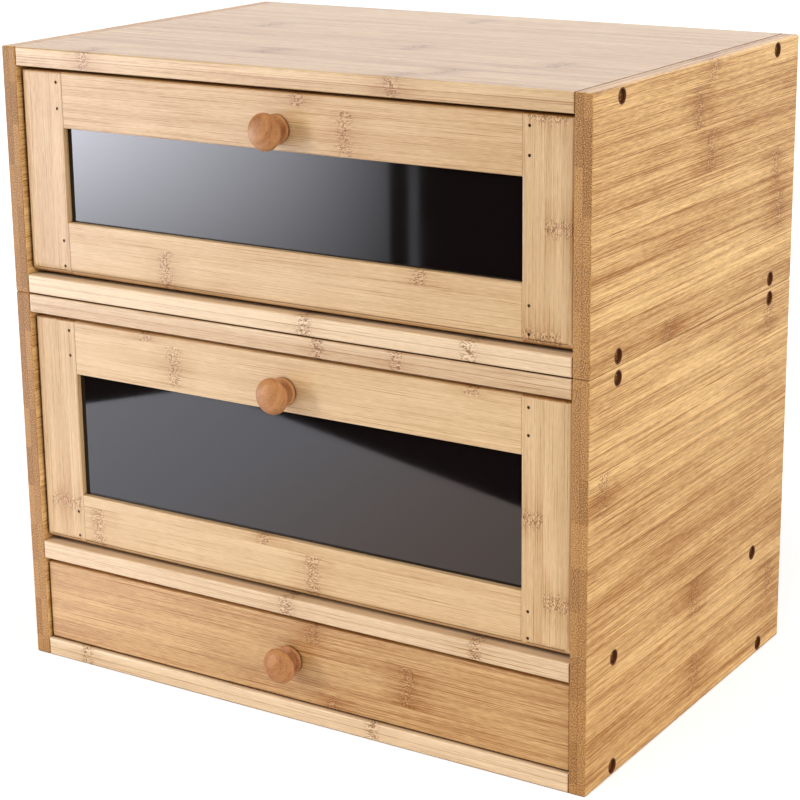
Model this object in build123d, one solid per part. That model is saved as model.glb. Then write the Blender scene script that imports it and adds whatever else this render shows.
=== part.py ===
"""A stacked bread box: two bamboo cabinets, two drop-down doors and a drawer.

All sizes are in millimetres.  X runs to the right, Y to the back and Z up.
The origin is on the ground, at the middle of the lower cabinet's underside.
"""
import math
import os

from build123d import *

# ---- carcass ----
box_width = 380.0
box_depth = 256.0
lower_height = 228.0
upper_height = 144.4
side_thickness = 10.2
board_thickness = 10.9
drawer_bay_height = 52.1
edge_ease = 1.1
# between the two boards where the cabinets meet, because the side panels carry the load
seam_gap = 0.7
# how far a cutting block runs past the wood it cuts
cut_room = 2.0

# ---- back panels, held in grooves ----
back_thickness = 5.0
back_inset = 8.0
groove_depth = 4.0
panel_play = 0.3
shelf_back_gap = 0.3

# ---- screws through the side panels ----
screw_setback = 31.0
screw_length = 32.0
screw_head_radius = 3.4
screw_shank_radius = 1.7
screw_bore_radius = 3.8
screw_sink = 1.6
cross_width = 1.0
cross_span = 4.2
cross_depth = 1.3

# ---- dowels that keep the upper cabinet on the lower one ----
dowel_radius = 4.0
dowel_height = 8.0
dowel_skin = 2.6
dowel_tip = 0.8
dowel_from_side = 45.0
dowel_from_edge = 58.0
dowel_clearance = 0.08
dowel_end_room = 0.4

# ---- doors ----
door_thickness = 14.0
door_recess = 3.3
door_side_gap = 1.2
door_bottom_gap = 1.5
upper_door_top_gap = 2.1
lower_door_top_gap = 2.6
stile_width = 29.3
rail_width = 32.0
door_corner_round = 1.6
opening_ease = 0.6
joint_ease = 0.25
pane_setback = 3.4
pane_thickness = 3.0
pane_slot_play = 0.1
frame_groove_depth = 8.0
pane_end_room = 1.0
turning_clearance = 0.5

# ---- brads in the door frames ----
brad_radius = 0.65
brad_head_radius = 0.9
brad_length = 11.0
brad_sink = 0.8
brad_from_edge = 6.0
brad_pitch = 15.0

# ---- hinge pins ----
pin_radius = 2.0
pin_in_stile = 14.0
pin_in_side = 5.5
pin_clearance = 0.06
pin_end_room = 0.5

# ---- door stops and magnetic catches ----
stop_width = 52.0
stop_depth = 12.0
stop_height = 14.0
magnet_width = 16.0
magnet_height = 8.0
magnet_depth = 4.0
strike_width = 24.0
strike_height = 10.0
strike_thickness = 1.0
strike_corner_round = 1.6
strike_below_edge = 1.0
catch_gap = 0.3
small_screw_radius = 1.3
small_screw_head_radius = 2.4
small_screw_bite = 7.0
stop_screw_pitch = 34.0
strike_screw_pitch = 16.0
strike_screw_length = 9.0

# ---- turned knobs ----
knob_below_door_top = 20.2
knob_base_radius = 8.2
knob_base_height = 2.6
knob_neck_radius = 5.6
knob_neck_height = 5.0
knob_cap_back_radius = 9.3
knob_cap_back_height = 8.6
knob_cap_radius = 10.7
knob_cap_height = 11.2
knob_projection = 16.7
knob_crown_radius = 5.4
knob_crown_height = 0.75
knob_screw_radius = 2.0
knob_screw_head_radius = 4.0
knob_screw_head_height = 2.2
knob_screw_head_ease = 0.8
knob_screw_bite = 10.0

# ---- drawer ----
drawer_front_thickness = 10.3
drawer_recess = 2.6
drawer_side_gap = 0.8
drawer_top_gap = 2.9
drawer_bottom_gap = 0.5
drawer_wall_thickness = 8.0
drawer_wall_height = 40.0
drawer_wall_gap = 1.4
drawer_running_gap = 0.3
drawer_bottom_thickness = 4.0
drawer_groove_height = 5.0
drawer_groove_depth = 3.5
drawer_back_gap = 0.4
drawer_dowel_radius = 2.5
drawer_dowel_bite = 7.0
drawer_dowel_reach = 14.0
drawer_dowel_from_edge = 9.0

# ---- places that follow from the sizes ----
half_width = box_width / 2
inner_half = half_width - side_thickness
front = -box_depth / 2
back = box_depth / 2
total_height = lower_height + upper_height
back_panel_rear = back - back_inset
back_panel_front = back_panel_rear - back_thickness
shelf_bottom = board_thickness + drawer_bay_height
shelf_top = shelf_bottom + board_thickness
shelf_rear = back_panel_front - shelf_back_gap
lower_ceiling = lower_height - seam_gap / 2 - board_thickness
upper_floor = lower_height + seam_gap / 2 + board_thickness
upper_ceiling = total_height - board_thickness

door_half = inner_half - door_side_gap
door_front = front + door_recess
door_back = door_front + door_thickness
opening_half = door_half - stile_width
slot_width = pane_thickness + 2 * pane_slot_play
slot_front = door_front + pane_setback
# The lower front edge is rounded about the pin's height, so the door clears the board
# under it by the same small gap at every angle.
hinge_height = door_thickness / 2 + turning_clearance - door_bottom_gap
hinge_y = door_front + door_thickness / 2
door_cut_y = (door_front - cut_room, door_back + cut_room)
stop_front = door_back + strike_thickness + catch_gap

parts = {}


# ---- plain helpers ----

def slab(x_span, y_span, z_span):
    """A box between two corners, each span given as (low, high)."""
    spans = (x_span, y_span, z_span)
    size = [high - low for low, high in spans]
    middle = [(low + high) / 2 for low, high in spans]
    return Pos(*middle) * Box(*size)


def eased(solid, axis, radius=edge_ease):
    """The solid with its edges along one axis rounded."""
    return fillet(solid.edges().filter_by(axis), radius)


def toward(point, direction):
    """A place whose Z axis points along the direction, for turned pieces."""
    return Plane(origin=point, z_dir=direction)


def rod(point, direction, radius, length):
    """A round rod that starts at the point and runs along the direction."""
    return toward(point, direction) * Cylinder(
        radius, length, align=(Align.CENTER, Align.CENTER, Align.MIN)
    )


def turned(points):
    """A solid of revolution about Z from (radius, height) corners."""
    outline = make_face(Plane.XZ * Polyline(*points, close=True))
    return revolve(outline, Axis.Z)


def group(solids):
    """Separate solids kept together in one node."""
    return Compound(children=list(solids))


# ---- fasteners, drawn with the head's top at Z = 0 and the shank below ----

def screw_blank(head_radius, shank_radius, length):
    """A countersunk screw without its cross slot."""
    cone = head_radius - shank_radius
    return turned([
        (0, 0),
        (head_radius, 0),
        (shank_radius, -cone),
        (shank_radius, -length + 2 * shank_radius),
        (0, -length),
    ])


def cross_slot(width, span, depth):
    """The two crossed slots of a screw's head."""
    first = Pos(0, 0, -depth / 2) * Box(span, width, depth)
    second = Pos(0, 0, -depth / 2) * Box(width, span, depth)
    return first + second


def side_screw():
    blank = screw_blank(screw_head_radius, screw_shank_radius, screw_length)
    return blank - cross_slot(cross_width, cross_span, cross_depth)


def side_screw_hole():
    """The screw's own shape, with an open bore above its sunk head."""
    blank = screw_blank(screw_head_radius, screw_shank_radius, screw_length)
    bore = Cylinder(screw_bore_radius, 2 * screw_sink, align=(Align.CENTER, Align.CENTER, Align.MIN))
    return blank + bore


def small_screw(length):
    blank = screw_blank(small_screw_head_radius, small_screw_radius, length)
    ratio = small_screw_head_radius / screw_head_radius
    return blank - cross_slot(cross_width * ratio, cross_span * ratio, cross_depth * ratio)


def small_screw_hole(length):
    return screw_blank(small_screw_head_radius, small_screw_radius, length)


def brad():
    return turned([
        (0, 0),
        (brad_head_radius, 0),
        (brad_head_radius, -brad_sink),
        (brad_radius, -brad_sink),
        (brad_radius, -brad_length),
        (0, -brad_length),
    ])


def brad_hole():
    mouth = Cylinder(brad_head_radius, 2 * brad_sink, align=(Align.CENTER, Align.CENTER, Align.MIN))
    return brad() + mouth


# ---- the two cabinets ----

def side_screw_places(sign, boards):
    """Screw heads on one side panel: a front and a rear one for each board."""
    x = sign * (half_width - screw_sink)
    for middle_z, rear in boards:
        for y in (front + screw_setback, rear - screw_setback):
            yield toward((x, y, middle_z), (sign, 0, 0))


def side_panel(sign, z_span, inner_z, screw_boards, hinge_z):
    """One side of a cabinet, grooved for the back panel and bored for screws and a hinge pin."""
    x_span = sorted((sign * inner_half, sign * half_width))
    panel = slab(x_span, (front, back), z_span)
    panel = fillet(panel.edges(), edge_ease)
    groove_x = sorted((sign * inner_half, sign * (inner_half + groove_depth)))
    groove_z = (inner_z[0] - groove_depth, inner_z[1] + groove_depth)
    panel -= slab(groove_x, (back_panel_front, back_panel_rear), groove_z)
    for place in side_screw_places(sign, screw_boards):
        panel -= place * side_screw_hole()
    bore_start = (sign * inner_half, hinge_y, hinge_z)
    bore_depth = pin_in_side + pin_end_room
    panel -= rod(bore_start, (sign, 0, 0), pin_radius + pin_clearance, bore_depth)
    return panel


def cross_board(z_span, rear, groove=None):
    """A board between the sides, with a groove above or below; long edges and front ends eased."""
    low, high = z_span
    board = slab((-inner_half, inner_half), (front, rear), z_span)
    front_ends = board.edges().filter_by(Axis.Z).group_by(Axis.Y)[0]
    board = fillet(board.edges().filter_by(Axis.X) + front_ends, edge_ease)
    if groove == "top":
        groove_z = (high - groove_depth, high)
    elif groove == "bottom":
        groove_z = (low, low + groove_depth)
    else:
        return board
    return board - slab((-inner_half, inner_half), (back_panel_front, back_panel_rear), groove_z)


def drill_for_side_screws(board, middle_z, rear):
    for sign in (-1, 1):
        for place in side_screw_places(sign, [(middle_z, rear)]):
            board -= place * side_screw_hole()
    return board


def back_panel(inner_z):
    """A thin panel whose edges sit in the grooves around it."""
    reach = groove_depth - panel_play
    x_end = inner_half + reach
    z_ends = (inner_z[0] - reach, inner_z[1] + reach)
    return slab((-x_end, x_end), (back_panel_front, back_panel_rear), z_ends)


def side_screws(boards):
    return group(
        place * side_screw()
        for sign in (-1, 1)
        for place in side_screw_places(sign, boards)
    )


def dowel_places():
    for x in (-half_width + dowel_from_side, half_width - dowel_from_side):
        for y in (front + dowel_from_edge, back - dowel_from_edge):
            yield x, y


def stacking_dowel(x, y):
    """A dowel glued into the lower cabinet's top, standing up into the upper one."""
    length = board_thickness - dowel_skin + seam_gap + dowel_height
    peg = rod((x, y, lower_ceiling + dowel_skin), (0, 0, 1), dowel_radius, length)
    return chamfer(peg.edges().sort_by(Axis.Z)[-1], dowel_tip)


def stop_screw_places(ceiling):
    """Heads of the two screws that hold a door stop up to the board above it."""
    for x in (-stop_screw_pitch / 2, stop_screw_pitch / 2):
        yield toward((x, stop_front + stop_depth / 2, ceiling - stop_height), (0, 0, -1))


def door_stop(ceiling):
    """The block that a closed door rests against, with a pocket for its magnet."""
    stop = slab(
        (-stop_width / 2, stop_width / 2),
        (stop_front, stop_front + stop_depth),
        (ceiling - stop_height, ceiling),
    )
    stop = eased(stop, Axis.Z)
    stop -= catch_magnet(ceiling)
    for place in stop_screw_places(ceiling):
        stop -= place * small_screw_hole(stop_height + small_screw_bite)
    return stop


def catch_magnet(ceiling):
    middle_z = ceiling - stop_height / 2
    return slab(
        (-magnet_width / 2, magnet_width / 2),
        (stop_front, stop_front + magnet_depth),
        (middle_z - magnet_height / 2, middle_z + magnet_height / 2),
    )


def stop_screws(ceiling):
    length = stop_height + small_screw_bite
    return group(place * small_screw(length) for place in stop_screw_places(ceiling))


def drill_for_stop(board, ceiling):
    for place in stop_screw_places(ceiling):
        board -= place * small_screw_hole(stop_height + small_screw_bite)
    return board


def make_lower_cabinet():
    boards = {
        "lower_bottom_board": ((0, board_thickness), back, "top"),
        "drawer_shelf": ((shelf_bottom, shelf_top), shelf_rear, None),
        "lower_top_board": ((lower_ceiling, lower_ceiling + board_thickness), back, "bottom"),
    }
    screw_rows = [((z[0] + z[1]) / 2, rear) for z, rear, groove in boards.values()]
    for (name, (z_span, rear, groove)), row in zip(boards.items(), screw_rows):
        parts[name] = drill_for_side_screws(cross_board(z_span, rear, groove), *row)
    z_span = (0, lower_height)
    inner_z = (board_thickness, lower_ceiling)
    hinge_z = shelf_top + door_bottom_gap + hinge_height
    parts["lower_left_side"] = side_panel(-1, z_span, inner_z, screw_rows, hinge_z)
    parts["lower_right_side"] = side_panel(1, z_span, inner_z, screw_rows, hinge_z)
    parts["lower_back_panel"] = back_panel(inner_z)
    parts["lower_side_screws"] = side_screws(screw_rows)

    dowels = [stacking_dowel(x, y) for x, y in dowel_places()]
    for dowel in dowels:
        parts["lower_top_board"] -= dowel
    parts["stacking_dowels"] = group(dowels)

    parts["lower_top_board"] = drill_for_stop(parts["lower_top_board"], lower_ceiling)
    parts["lower_door_stop"] = door_stop(lower_ceiling)
    parts["lower_catch_magnet"] = catch_magnet(lower_ceiling)
    parts["lower_stop_screws"] = stop_screws(lower_ceiling)


def make_upper_cabinet():
    underside = upper_floor - board_thickness
    boards = {
        "upper_bottom_board": ((underside, upper_floor), back, "top"),
        "upper_top_board": ((upper_ceiling, total_height), back, "bottom"),
    }
    screw_rows = [((z[0] + z[1]) / 2, rear) for z, rear, groove in boards.values()]
    for (name, (z_span, rear, groove)), row in zip(boards.items(), screw_rows):
        parts[name] = drill_for_side_screws(cross_board(z_span, rear, groove), *row)
    z_span = (lower_height, total_height)
    inner_z = (upper_floor, upper_ceiling)
    hinge_z = upper_floor + door_bottom_gap + hinge_height
    parts["upper_left_side"] = side_panel(-1, z_span, inner_z, screw_rows, hinge_z)
    parts["upper_right_side"] = side_panel(1, z_span, inner_z, screw_rows, hinge_z)
    parts["upper_back_panel"] = back_panel(inner_z)
    parts["upper_side_screws"] = side_screws(screw_rows)

    for x, y in dowel_places():
        parts["upper_bottom_board"] -= rod(
            (x, y, underside), (0, 0, 1), dowel_radius + dowel_clearance, dowel_height + dowel_end_room
        )

    parts["upper_top_board"] = drill_for_stop(parts["upper_top_board"], upper_ceiling)
    parts["upper_door_stop"] = door_stop(upper_ceiling)
    parts["upper_catch_magnet"] = catch_magnet(upper_ceiling)
    parts["upper_stop_screws"] = stop_screws(upper_ceiling)


# ---- the drop-down doors ----

def door_slab(low, high):
    """The door as one closed slab: rounded low front edge and softened outer edges."""
    upright = Plane.YZ * Pos((door_front + door_back) / 2, (low + high) / 2) * Rectangle(
        door_thickness, high - low
    )
    tall = extrude(upright, amount=door_half, both=True)
    long_edges = tall.edges().filter_by(Axis.X)
    low_front = long_edges.group_by(Axis.Z)[0].sort_by(Axis.Y)[0]
    others = [edge for edge in long_edges if edge.center() != low_front.center()]
    tall = fillet(others, door_corner_round)
    low_front = tall.edges().filter_by(Axis.X).group_by(Axis.Z)[0].sort_by(Axis.Y)[0]
    tall = fillet(low_front, hinge_height)
    plan = slab((-door_half, door_half), (door_front, door_back), (low - cut_room, high + cut_room))
    return tall & eased(plan, Axis.Z, door_corner_round)


def window_frame(closed, low, high):
    """The closed slab with its window cut out and the window's front edge eased."""
    opening_z = (low + rail_width, high - rail_width)
    frame = closed - slab((-opening_half, opening_half), door_cut_y, opening_z)
    rim = [
        edge
        for edge in frame.edges().group_by(Axis.Y)[0]
        if abs(edge.center().X) < opening_half + opening_ease
        and opening_z[0] - opening_ease < edge.center().Z < opening_z[1] + opening_ease
    ]
    return fillet(rim, opening_ease)


def brad_places(low, high):
    """Two brads at each corner, through the stile into the rail's tongue."""
    x = opening_half + frame_groove_depth / 2
    for sign in (-1, 1):
        for step in (brad_from_edge, brad_from_edge + brad_pitch):
            for z in (low + step, high - step):
                yield toward((sign * x, door_front + brad_sink, z), (0, -1, 0))


def door_stile(sign, frame, low, high, hinge_z):
    """An upright of the door frame, grooved on its inner edge and bored for its pin."""
    cut_z = (low - cut_room, high + cut_room)
    x_span = sorted((sign * opening_half, sign * (door_half + cut_room)))
    stile = frame & slab(x_span, door_cut_y, cut_z)
    groove_x = sorted((sign * opening_half, sign * (opening_half + frame_groove_depth)))
    stile -= slab(groove_x, (slot_front, slot_front + slot_width), cut_z)
    stile -= rod((sign * (door_half - pin_in_stile), hinge_y, hinge_z), (sign, 0, 0),
                 pin_radius, pin_in_stile)
    for place in brad_places(low, high):
        stile -= place * brad_hole()
    return stile


def door_rail(closed, frame, z_span, groove_z, low, high):
    """A cross rail of the door frame, with a tongue at each end and a groove for the pane."""
    rail = frame & slab((-opening_half, opening_half), door_cut_y, z_span)
    ends = [
        edge
        for edge in rail.edges().group_by(Axis.Y)[0].filter_by(Axis.Z)
        if abs(abs(edge.center().X) - opening_half) < joint_ease
    ]
    rail = chamfer(ends, joint_ease)
    tongue_end = opening_half + frame_groove_depth
    tongue_y = (slot_front, slot_front + slot_width)
    rail += closed & slab((-tongue_end, tongue_end), tongue_y, z_span)
    rail -= slab((-tongue_end, tongue_end), tongue_y, groove_z)
    for place in brad_places(low, high):
        rail -= place * brad_hole()
    return rail


def door_pane(low, high):
    reach = frame_groove_depth - pane_end_room
    y = slot_front + pane_slot_play
    x_end = opening_half + reach
    return slab(
        (-x_end, x_end),
        (y, y + pane_thickness),
        (low + rail_width - reach, high - rail_width + reach),
    )


def strike_screw_places(middle_z):
    for x in (-strike_screw_pitch / 2, strike_screw_pitch / 2):
        yield toward((x, door_back + strike_thickness, middle_z), (0, 1, 0))


def strike_plate(middle_z):
    """The steel plate on the door's back that the magnet holds."""
    plate = slab(
        (-strike_width / 2, strike_width / 2),
        (door_back, door_back + strike_thickness),
        (middle_z - strike_height / 2, middle_z + strike_height / 2),
    )
    plate = eased(plate, Axis.Y, strike_corner_round)
    for place in strike_screw_places(middle_z):
        plate -= place * small_screw_hole(strike_screw_length)
    return plate


def make_door(prefix, low, high):
    """All the pieces of one door, whose lower and upper edges are at the given heights."""
    closed = door_slab(low, high)
    frame = window_frame(closed, low, high)
    hinge_z = low + hinge_height
    bottom_z = (low - cut_room, low + rail_width)
    top_z = (high - rail_width, high + cut_room)
    bottom_groove = (low + rail_width - frame_groove_depth, low + rail_width)
    top_groove = (high - rail_width, high - rail_width + frame_groove_depth)
    parts[prefix + "_left_stile"] = door_stile(-1, frame, low, high, hinge_z)
    parts[prefix + "_right_stile"] = door_stile(1, frame, low, high, hinge_z)
    bottom_rail = door_rail(closed, frame, bottom_z, bottom_groove, low, high)
    top_rail = door_rail(closed, frame, top_z, top_groove, low, high)
    parts[prefix + "_pane"] = door_pane(low, high)
    parts[prefix + "_door_brads"] = group(place * brad() for place in brad_places(low, high))
    pin_length = pin_in_stile + door_side_gap + pin_in_side
    parts[prefix + "_hinge_pins"] = group(
        rod((sign * (door_half - pin_in_stile), hinge_y, hinge_z), (sign, 0, 0), pin_radius, pin_length)
        for sign in (-1, 1)
    )

    knob_z = high - knob_below_door_top
    knob, screw = knob_and_screw(knob_z, door_front, door_thickness)
    parts[prefix + "_door_knob"] = knob
    parts[prefix + "_knob_screw"] = screw
    top_rail -= screw

    strike_z = high - strike_below_edge - strike_height / 2
    parts[prefix + "_strike_plate"] = strike_plate(strike_z)
    parts[prefix + "_strike_screws"] = group(
        place * small_screw(strike_screw_length) for place in strike_screw_places(strike_z)
    )
    for place in strike_screw_places(strike_z):
        top_rail -= place * small_screw_hole(strike_screw_length)
    parts[prefix + "_bottom_rail"] = bottom_rail
    parts[prefix + "_top_rail"] = top_rail


# ---- knobs ----

def knob_and_screw(z, face_y, wood):
    """A knob on the face at face_y and the screw that holds it from behind the wood."""
    place = toward((0, face_y, z), (0, -1, 0))
    screw = turned([
        (0, -wood - knob_screw_head_height),
        (knob_screw_head_radius - knob_screw_head_ease, -wood - knob_screw_head_height),
        (knob_screw_head_radius, -wood - knob_screw_head_height / 2),
        (knob_screw_head_radius, -wood),
        (knob_screw_radius, -wood),
        (knob_screw_radius, knob_screw_bite),
        (0, knob_screw_bite),
    ])
    slot = Pos(0, 0, -wood - knob_screw_head_height) * Rot(180, 0, 0) * cross_slot(
        cross_width, cross_span, cross_depth
    )
    knob = turned_knob() - screw
    return place * knob, place * (screw - slot)


def turned_knob():
    """The knob as one turned solid, standing up from Z = 0."""
    rim = knob_base_height / 2
    flange = knob_base_radius - rim
    waist = (knob_neck_radius, knob_neck_height)
    cap_back = (knob_cap_back_radius, knob_cap_back_height)
    widest = (knob_cap_radius, knob_cap_height)
    shoulder = (knob_crown_radius, knob_projection - knob_crown_height)
    outline = Curve() + [
        Line((0, 0), (flange, 0)),
        ThreePointArc((flange, 0), (knob_base_radius, rim), (flange, knob_base_height)),
        Spline((flange, knob_base_height), waist, cap_back, widest, tangents=[(-1, 0.1), (0, 1)]),
        Spline(widest, shoulder, (0, knob_projection), tangents=[(0, 1), (-1, 0)]),
        Line((0, knob_projection), (0, 0)),
    ]
    return revolve(make_face(Plane.XZ * outline), Axis.Z)


# ---- the drawer ----

def make_drawer():
    low = board_thickness + drawer_bottom_gap
    high = shelf_bottom - drawer_top_gap
    front_half = inner_half - drawer_side_gap
    face = front + drawer_recess
    inside = face + drawer_front_thickness
    rear = back_panel_front - drawer_back_gap
    wall_half = inner_half - drawer_wall_gap
    wall_inner = wall_half - drawer_wall_thickness
    wall_low = board_thickness + drawer_running_gap
    wall_high = wall_low + drawer_wall_height
    back_wall_front = rear - drawer_wall_thickness
    groove_z = (wall_low + drawer_groove_height,
                wall_low + drawer_groove_height + drawer_bottom_thickness)

    drawer_front = slab((-front_half, front_half), (face, inside), (low, high))
    drawer_front = fillet(drawer_front.edges(), edge_ease)
    bottom_reach = drawer_groove_depth - panel_play
    groove_reach = wall_inner + drawer_groove_depth
    drawer_bottom = slab(
        (-wall_inner - bottom_reach, wall_inner + bottom_reach),
        (inside - bottom_reach, back_wall_front + bottom_reach),
        groove_z,
    )
    groove = slab(
        (-groove_reach, groove_reach),
        (inside - drawer_groove_depth, back_wall_front + drawer_groove_depth),
        groove_z,
    )
    drawer_back = slab((-wall_inner, wall_inner), (back_wall_front, rear), (wall_low, wall_high))

    dowels = []
    brads = []
    wall_middle = (wall_inner + wall_half) / 2
    walls = {}
    for side, sign in (("left", -1), ("right", 1)):
        x_span = sorted((sign * wall_inner, sign * wall_half))
        wall = slab(x_span, (inside, rear), (wall_low, wall_high))
        walls[side] = eased(wall, Axis.Y)
        for z in (wall_low + drawer_dowel_from_edge + drawer_groove_height,
                  wall_high - drawer_dowel_from_edge):
            start = (sign * wall_middle, inside - drawer_dowel_bite, z)
            dowels.append(rod(start, (0, 1, 0), drawer_dowel_radius,
                              drawer_dowel_bite + drawer_dowel_reach))
            head = (sign * (wall_half - brad_sink), rear - drawer_wall_thickness / 2, z)
            brads.append(toward(head, (sign, 0, 0)))
    for dowel in dowels:
        drawer_front -= dowel
        walls["left"] -= dowel
        walls["right"] -= dowel
    for place in brads:
        drawer_back -= place * brad_hole()
        walls["left"] -= place * brad_hole()
        walls["right"] -= place * brad_hole()

    knob, screw = knob_and_screw((low + high) / 2, face, drawer_front_thickness)
    parts["drawer_front"] = drawer_front - groove - screw
    parts["drawer_left_wall"] = walls["left"] - groove
    parts["drawer_right_wall"] = walls["right"] - groove
    parts["drawer_back"] = drawer_back - groove
    parts["drawer_bottom"] = drawer_bottom
    parts["drawer_dowels"] = group(dowels)
    parts["drawer_brads"] = group(place * brad() for place in brads)
    parts["drawer_knob"] = knob
    parts["drawer_knob_screw"] = screw


make_lower_cabinet()
make_upper_cabinet()
make_door("lower", shelf_top + door_bottom_gap, lower_ceiling - lower_door_top_gap)
make_door("upper", upper_floor + door_bottom_gap, upper_ceiling - upper_door_top_gap)
make_drawer()

os.makedirs("parts", exist_ok=True)
for name, shape in parts.items():
    export_step(shape, f"parts/{name}.step")
print(len(parts), "nodes written")
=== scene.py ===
import math
import random

import bpy
import numpy as np
from mathutils import Matrix, Vector


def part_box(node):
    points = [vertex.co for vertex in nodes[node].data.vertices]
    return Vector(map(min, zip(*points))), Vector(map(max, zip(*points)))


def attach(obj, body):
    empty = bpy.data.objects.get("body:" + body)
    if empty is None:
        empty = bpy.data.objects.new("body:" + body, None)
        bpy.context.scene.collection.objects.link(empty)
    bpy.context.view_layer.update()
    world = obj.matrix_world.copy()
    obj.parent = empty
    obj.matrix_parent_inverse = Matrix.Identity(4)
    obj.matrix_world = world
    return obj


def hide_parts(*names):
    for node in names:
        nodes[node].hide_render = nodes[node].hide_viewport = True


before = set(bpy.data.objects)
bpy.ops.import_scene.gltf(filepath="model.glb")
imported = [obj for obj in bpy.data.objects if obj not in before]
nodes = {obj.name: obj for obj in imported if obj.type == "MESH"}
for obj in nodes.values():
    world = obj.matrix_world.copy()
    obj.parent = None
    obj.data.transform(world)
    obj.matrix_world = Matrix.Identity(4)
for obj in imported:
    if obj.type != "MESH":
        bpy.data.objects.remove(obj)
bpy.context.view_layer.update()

mm = 0.001


# small helpers for node trees

def feed(tree, node, inputs):
    # each input is linked to a socket, or set to a plain value
    for key, value in inputs.items():
        if isinstance(value, bpy.types.NodeSocket):
            tree.links.new(value, node.inputs[key])
        else:
            node.inputs[key].default_value = value


def addNode(tree, kind, inputs=None, **settings):
    node = tree.nodes.new("ShaderNode" + kind)
    for key, value in settings.items():
        setattr(node, key, value)
    feed(tree, node, inputs or {})
    return node


def calc(tree, operation, *values):
    return addNode(tree, "Math", dict(enumerate(values)), operation=operation).outputs[0]


def addScaled(tree, total, value, amount):
    # total + value * amount
    return calc(tree, "MULTIPLY_ADD", value, amount, total)


def oneMinus(tree, value):
    return calc(tree, "SUBTRACT", 1.0, value)


def smooth(tree, value, low, high):
    # 0 at low, 1 at high, with a soft step between
    node = addNode(tree, "MapRange", {"Value": value, "From Min": low, "From Max": high},
                   interpolation_type="SMOOTHSTEP")
    return node.outputs["Result"]


def mixColor(tree, factor, first, second):
    # inputs 0, 6 and 7 of a colour mix are its factor and its two colours
    node = addNode(tree, "Mix", data_type="RGBA", clamp_factor=True)
    feed(tree, node, {0: factor, 6: first, 7: second})
    return node.outputs[2]


def separate(tree, vector):
    return addNode(tree, "SeparateXYZ", {0: vector}).outputs


def combine(tree, *parts):
    return addNode(tree, "CombineXYZ", dict(enumerate(parts))).outputs[0]


def objectPlace(tree):
    return addNode(tree, "TexCoord").outputs["Object"]


def stretched(tree, place, lengths, shift=None):
    # the place in units of three lengths, so that noise on it is drawn out along the longest
    scaled = [calc(tree, "DIVIDE", part, length) for part, length in zip(place, lengths)]
    if shift is not None:
        scaled[0] = calc(tree, "ADD", scaled[0], shift)
    return combine(tree, *scaled)


def noise(tree, vector, detail=2.0, roughness=0.5, scale=1.0):
    # noise about zero, roughly -0.3 to 0.3
    node = addNode(tree, "TexNoise", {"Vector": vector, "Scale": scale, "Detail": detail,
                                      "Roughness": roughness})
    return calc(tree, "SUBTRACT", node.outputs[0], 0.5)


def openness(tree, reach):
    # 1 in the open, less where something else is within reach (mm)
    return addNode(tree, "AmbientOcclusion", {"Distance": reach * mm}, samples=4).outputs["AO"]


def relief(tree, height, strength, depth):
    # a normal for relief that is depth mm deep
    return addNode(tree, "Bump", {"Height": height, "Strength": strength,
                                  "Distance": depth * mm}).outputs[0]


def newGroup(name, inputs, outputs):
    group = bpy.data.node_groups.new(name, "ShaderNodeTree")
    for labels, way in ((inputs, "INPUT"), (outputs, "OUTPUT")):
        for label, kind in labels.items():
            group.interface.new_socket(name=label, in_out=way, socket_type="NodeSocket" + kind)
    start = group.nodes.new("NodeGroupInput")
    end = group.nodes.new("NodeGroupOutput")
    return group, start.outputs, end


def newMaterial(name, inputs=None, kind="BsdfPrincipled"):
    # a material with one shader, whose constant values are the inputs
    material = bpy.data.materials.new(name)
    material.use_nodes = True
    tree = material.node_tree
    tree.nodes.clear()
    shader = addNode(tree, kind, inputs)
    addNode(tree, "OutputMaterial", {"Surface": shader.outputs[0]})
    return material, tree, shader


def rgb(*display):
    # a display colour (0 to 255) as the linear colour that a shader wants
    linear = [((c / 255 + 0.055) / 1.055) ** 2.4 if c > 10 else c / 255 / 12.92 for c in display]
    return (*linear, 1.0)


def dress(node, material):
    mesh = nodes[node].data
    mesh.materials.clear()
    mesh.materials.append(material)


# bamboo: strips glued side by side, in layers, with long fibres and a knuckle here and there

bamboo = {
    "stripWidth": 24.2,           # mm, across the board
    "stripShift": 90.0,           # how far the grain of one strip may slide, in grain lengths
    "seedStep": 7.3,              # from the figure of one board to that of the next
    "grains": {                   # length and width in mm, strength, and detail of the noise
        "fibre": (7.0, 0.36, 1.50, 1.0),
        "thread": (80.0, 0.50, 1.86, 3.0),
        "streak": (190.0, 1.8, 0.72, 2.0),
        "band": (420.0, 11.0, 1.32, 2.0),
        "cloud": (60.0, 16.0, 0.78, 2.0),
    },
    "grainRoughness": 0.55,
    "thin": (0.07, 0.17),         # the darkest threads, drawn once more as thin lines
    "thinDark": 0.85,
    "glueLine": (0.05, 0.35),     # mm from its middle, from full to none
    "stripLineDark": 0.17, "layerLineDark": 0.40,
    "layerEase": 0.01,            # of a layer, so that a board's far face belongs to its last layer
    "layerless": 20.0,            # mm, thicker than any board, so that no layer line shows
    "rough": 0.40, "fibreRough": 0.3, "sawnRough": 0.35, "holeShadeRough": 0.3,
    "fibreRise": 0.5, "thinRise": -0.35, "lineRise": -0.35, "speckRise": 2.0,
    "bump": (0.3, 0.2),           # strength, and depth in mm
}

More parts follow.
